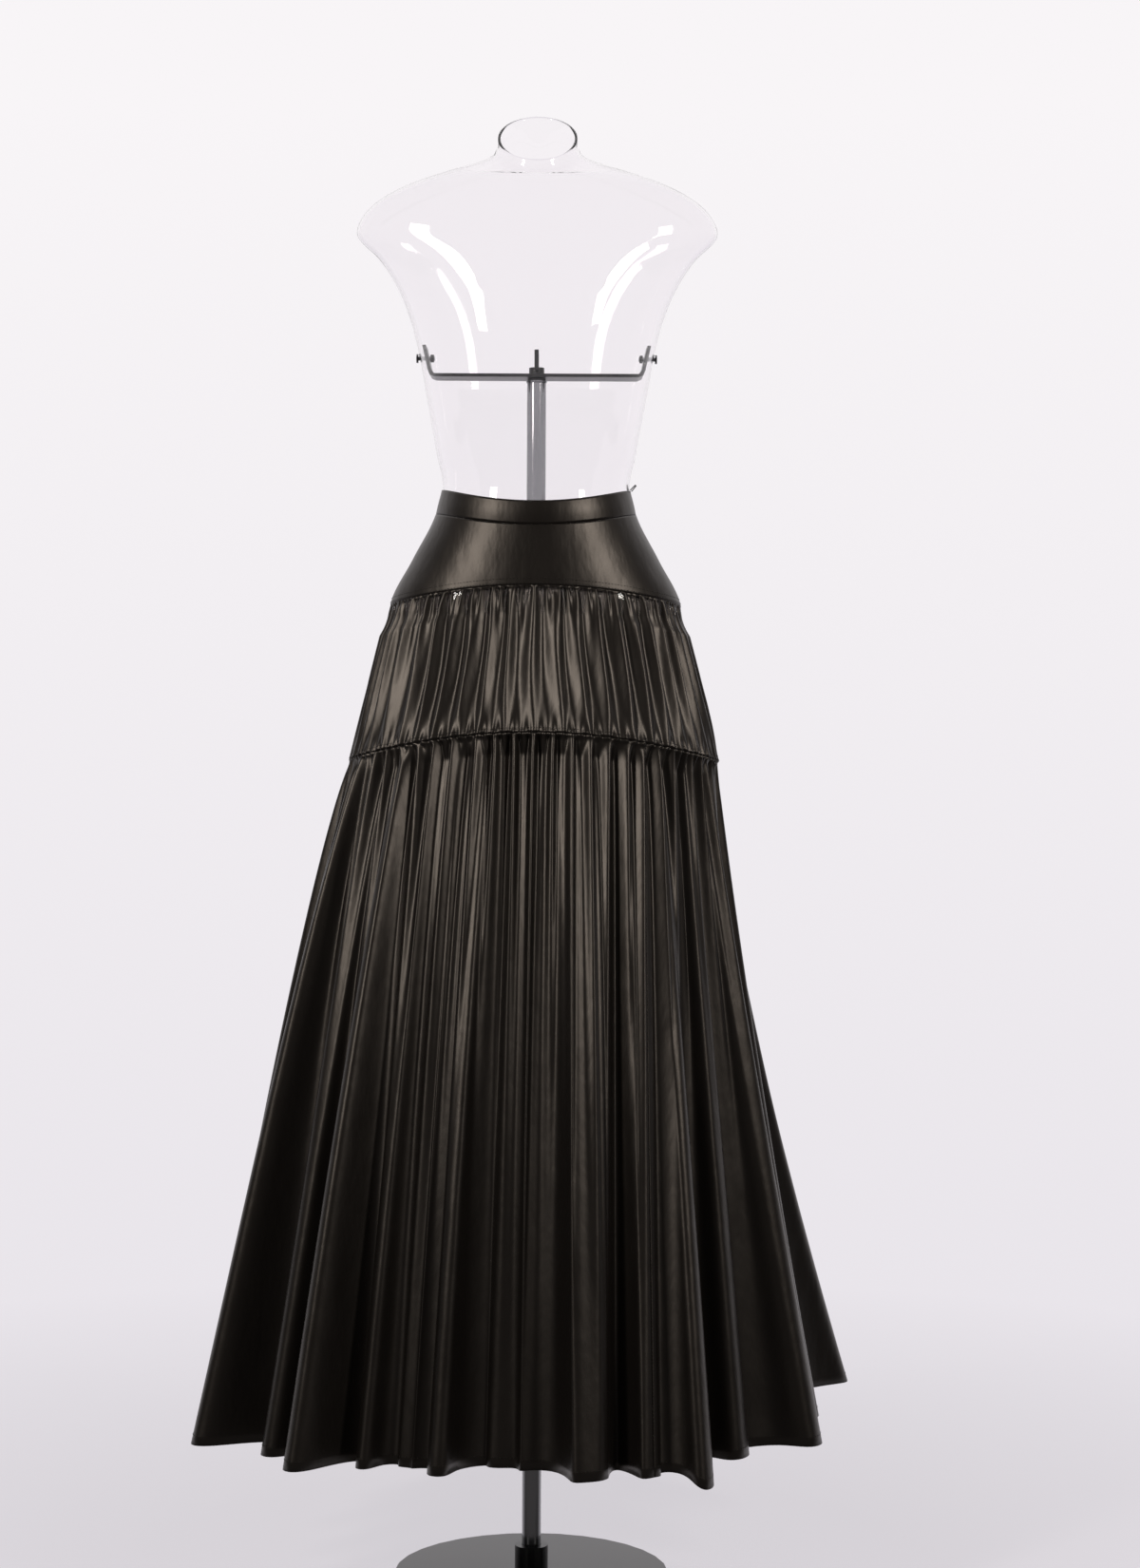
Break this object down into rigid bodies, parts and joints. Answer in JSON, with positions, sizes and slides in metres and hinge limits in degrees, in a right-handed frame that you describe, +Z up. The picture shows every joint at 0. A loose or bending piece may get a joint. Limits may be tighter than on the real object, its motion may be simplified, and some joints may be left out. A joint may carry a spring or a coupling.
{
  "type": "maxi skirt on a clear dress form with a stand",
  "caption": "Full-length tiered satin skirt with a fitted yoke, gathered tiers and a flared hem, worn by a clear limbless dress form on a pole stand.",
  "frame": {"origin": "centre of the round base's underside, on the floor, under the pole's axis", "axes": "+Z up along the pole, -Y towards the skirt's front, +X towards the wearer's left side"},
  "size_m": [0.798, 0.7082, 1.7795],
  "materials": {
    "satin": "black satin with a soft warm sheen",
    "tape": "woven black tape",
    "clear_plastic": "clear moulded plastic, glossy",
    "black_steel": "black enamel, satin",
    "black_plastic": "moulded black plastic",
    "chrome": "polished chrome plate"
  },
  "bodies": {
    "root": {"waistband_front": "satin", "waistband_back": "satin", "yoke_front": "satin", "yoke_back": "satin", "upper_tier_front": "satin", "upper_tier_back": "satin", "lower_tier_front": "satin", "lower_tier_right": "satin", "lower_tier_back": "satin", "hanger_loop": "tape", "torso_shell": "clear_plastic", "bracket_bar": "black_steel", "screw_left": "chrome", "screw_right": "chrome", "nut_left": "black_steel", "nut_right": "black_steel", "pole": "chrome", "washer": "chrome", "collar": "black_plastic", "wing_knob": "black_plastic", "base_disc": "black_steel"}
  },
  "joints": []
}
